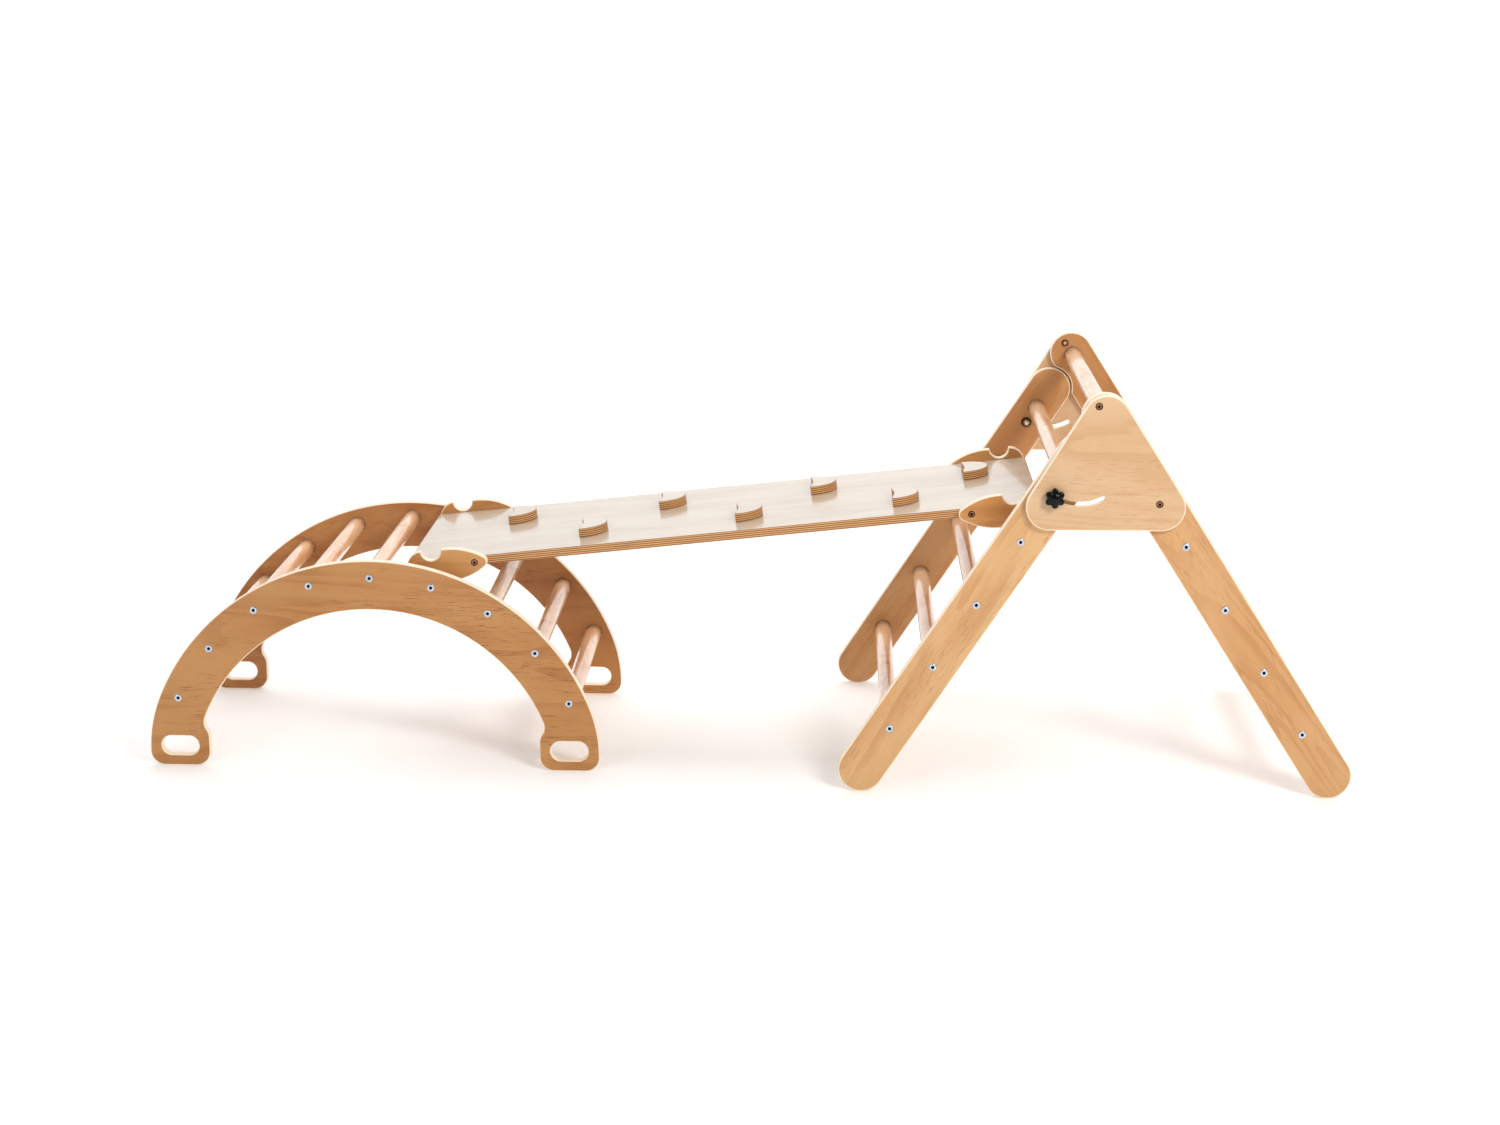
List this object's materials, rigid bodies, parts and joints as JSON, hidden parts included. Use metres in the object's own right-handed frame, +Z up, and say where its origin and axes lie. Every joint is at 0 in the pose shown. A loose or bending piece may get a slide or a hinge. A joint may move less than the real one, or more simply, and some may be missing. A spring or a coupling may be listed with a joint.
{
  "type": "indoor climbing set",
  "caption": "Indoor climbing set: a folding ladder triangle and a low rung arch joined by a reversible ramp board with half-moon holds, the fold clamped by star knobs.",
  "frame": {"origin": "centre of the set's footprint on the floor, under the middle of its length and width", "axes": "+X along the set from the arch to the triangle's rear feet, +Y from the side seen in the picture towards the far side (the set's left), +Z up; as pictured, the ramp hooked on the arch and on the triangle's front ladder, the triangle open to its stop"},
  "size_m": [2.3869, 0.8322, 0.7986],
  "materials": {
    "plywood_rail": "clear satin lacquer",
    "plywood_plate": "clear satin lacquer, grain level",
    "plywood_arch": "clear satin lacquer, grain level",
    "plywood_ear": "clear satin lacquer",
    "hardwood_rung": "clear gloss lacquer",
    "lacquered_ply": "pale gloss lacquer on the faces, bare layered edges",
    "zinc_steel": "zinc plated",
    "bronzed_steel": "bronze plated",
    "black_plastic": "gloss"
  },
  "bodies": {
    "front_ladder": {"front_rail_right": "plywood_rail", "front_rail_left": "plywood_rail", "front_rungs": "hardwood_rung", "front_rung_screws": "zinc_steel", "pivot_pins": "zinc_steel", "clamp_bolts": "bronzed_steel", "clamp_washers": "zinc_steel", "clamp_nuts": "bronzed_steel"},
    "rear_ladder": {"rear_rail_right": "plywood_rail", "rear_rail_left": "plywood_rail", "rear_rungs": "hardwood_rung", "rear_rung_screws": "zinc_steel", "side_plate_right": "plywood_plate", "side_plate_left": "plywood_plate", "plate_bolts": "bronzed_steel", "plate_nuts": "bronzed_steel"},
    "knob_right": {"clamp_knob_right": "black_plastic"},
    "knob_left": {"clamp_knob_left": "black_plastic"},
    "arch": {"arch_panel_right": "plywood_arch", "arch_panel_left": "plywood_arch", "arch_rungs": "hardwood_rung", "arch_rung_screws": "zinc_steel"},
    "ramp": {"ramp_board": "lacquered_ply", "climbing_stones": "lacquered_ply", "stone_screws": "zinc_steel", "ear_arch_right": "plywood_ear", "ear_arch_left": "plywood_ear", "ear_triangle_right": "plywood_ear", "ear_triangle_left": "plywood_ear", "ear_bolts": "bronzed_steel", "ear_barrel_nuts": "zinc_steel"}
  },
  "joints": [
    {"name": "ladder_fold", "type": "hinge", "parent": "front_ladder", "child": "rear_ladder", "pos_m": [0.64378, 0, 0.67542], "axis": [0, 1, 0], "range_deg": [0, 42]},
    {"name": "ramp_tilt", "type": "hinge", "parent": "front_ladder", "child": "ramp", "pos_m": [0.53544, 0, 0.50731], "axis": [0, 1, 0], "range_deg": [0, 40]},
    {"name": "arch_shift", "type": "slide", "parent": "front_ladder", "child": "arch", "axis": [0, 1, 0], "range_m": [-0.01, 0.034]},
    {"name": "knob_right_turn", "type": "hinge", "parent": "front_ladder", "child": "knob_right", "pos_m": [0.59557, -0.4033, 0.60061], "axis": [0, -1, 0], "range_deg": [0, 360]},
    {"name": "knob_left_turn", "type": "hinge", "parent": "front_ladder", "child": "knob_left", "pos_m": [0.59557, 0.4033, 0.60061], "axis": [0, 1, 0], "range_deg": [0, 360]}
  ]
}
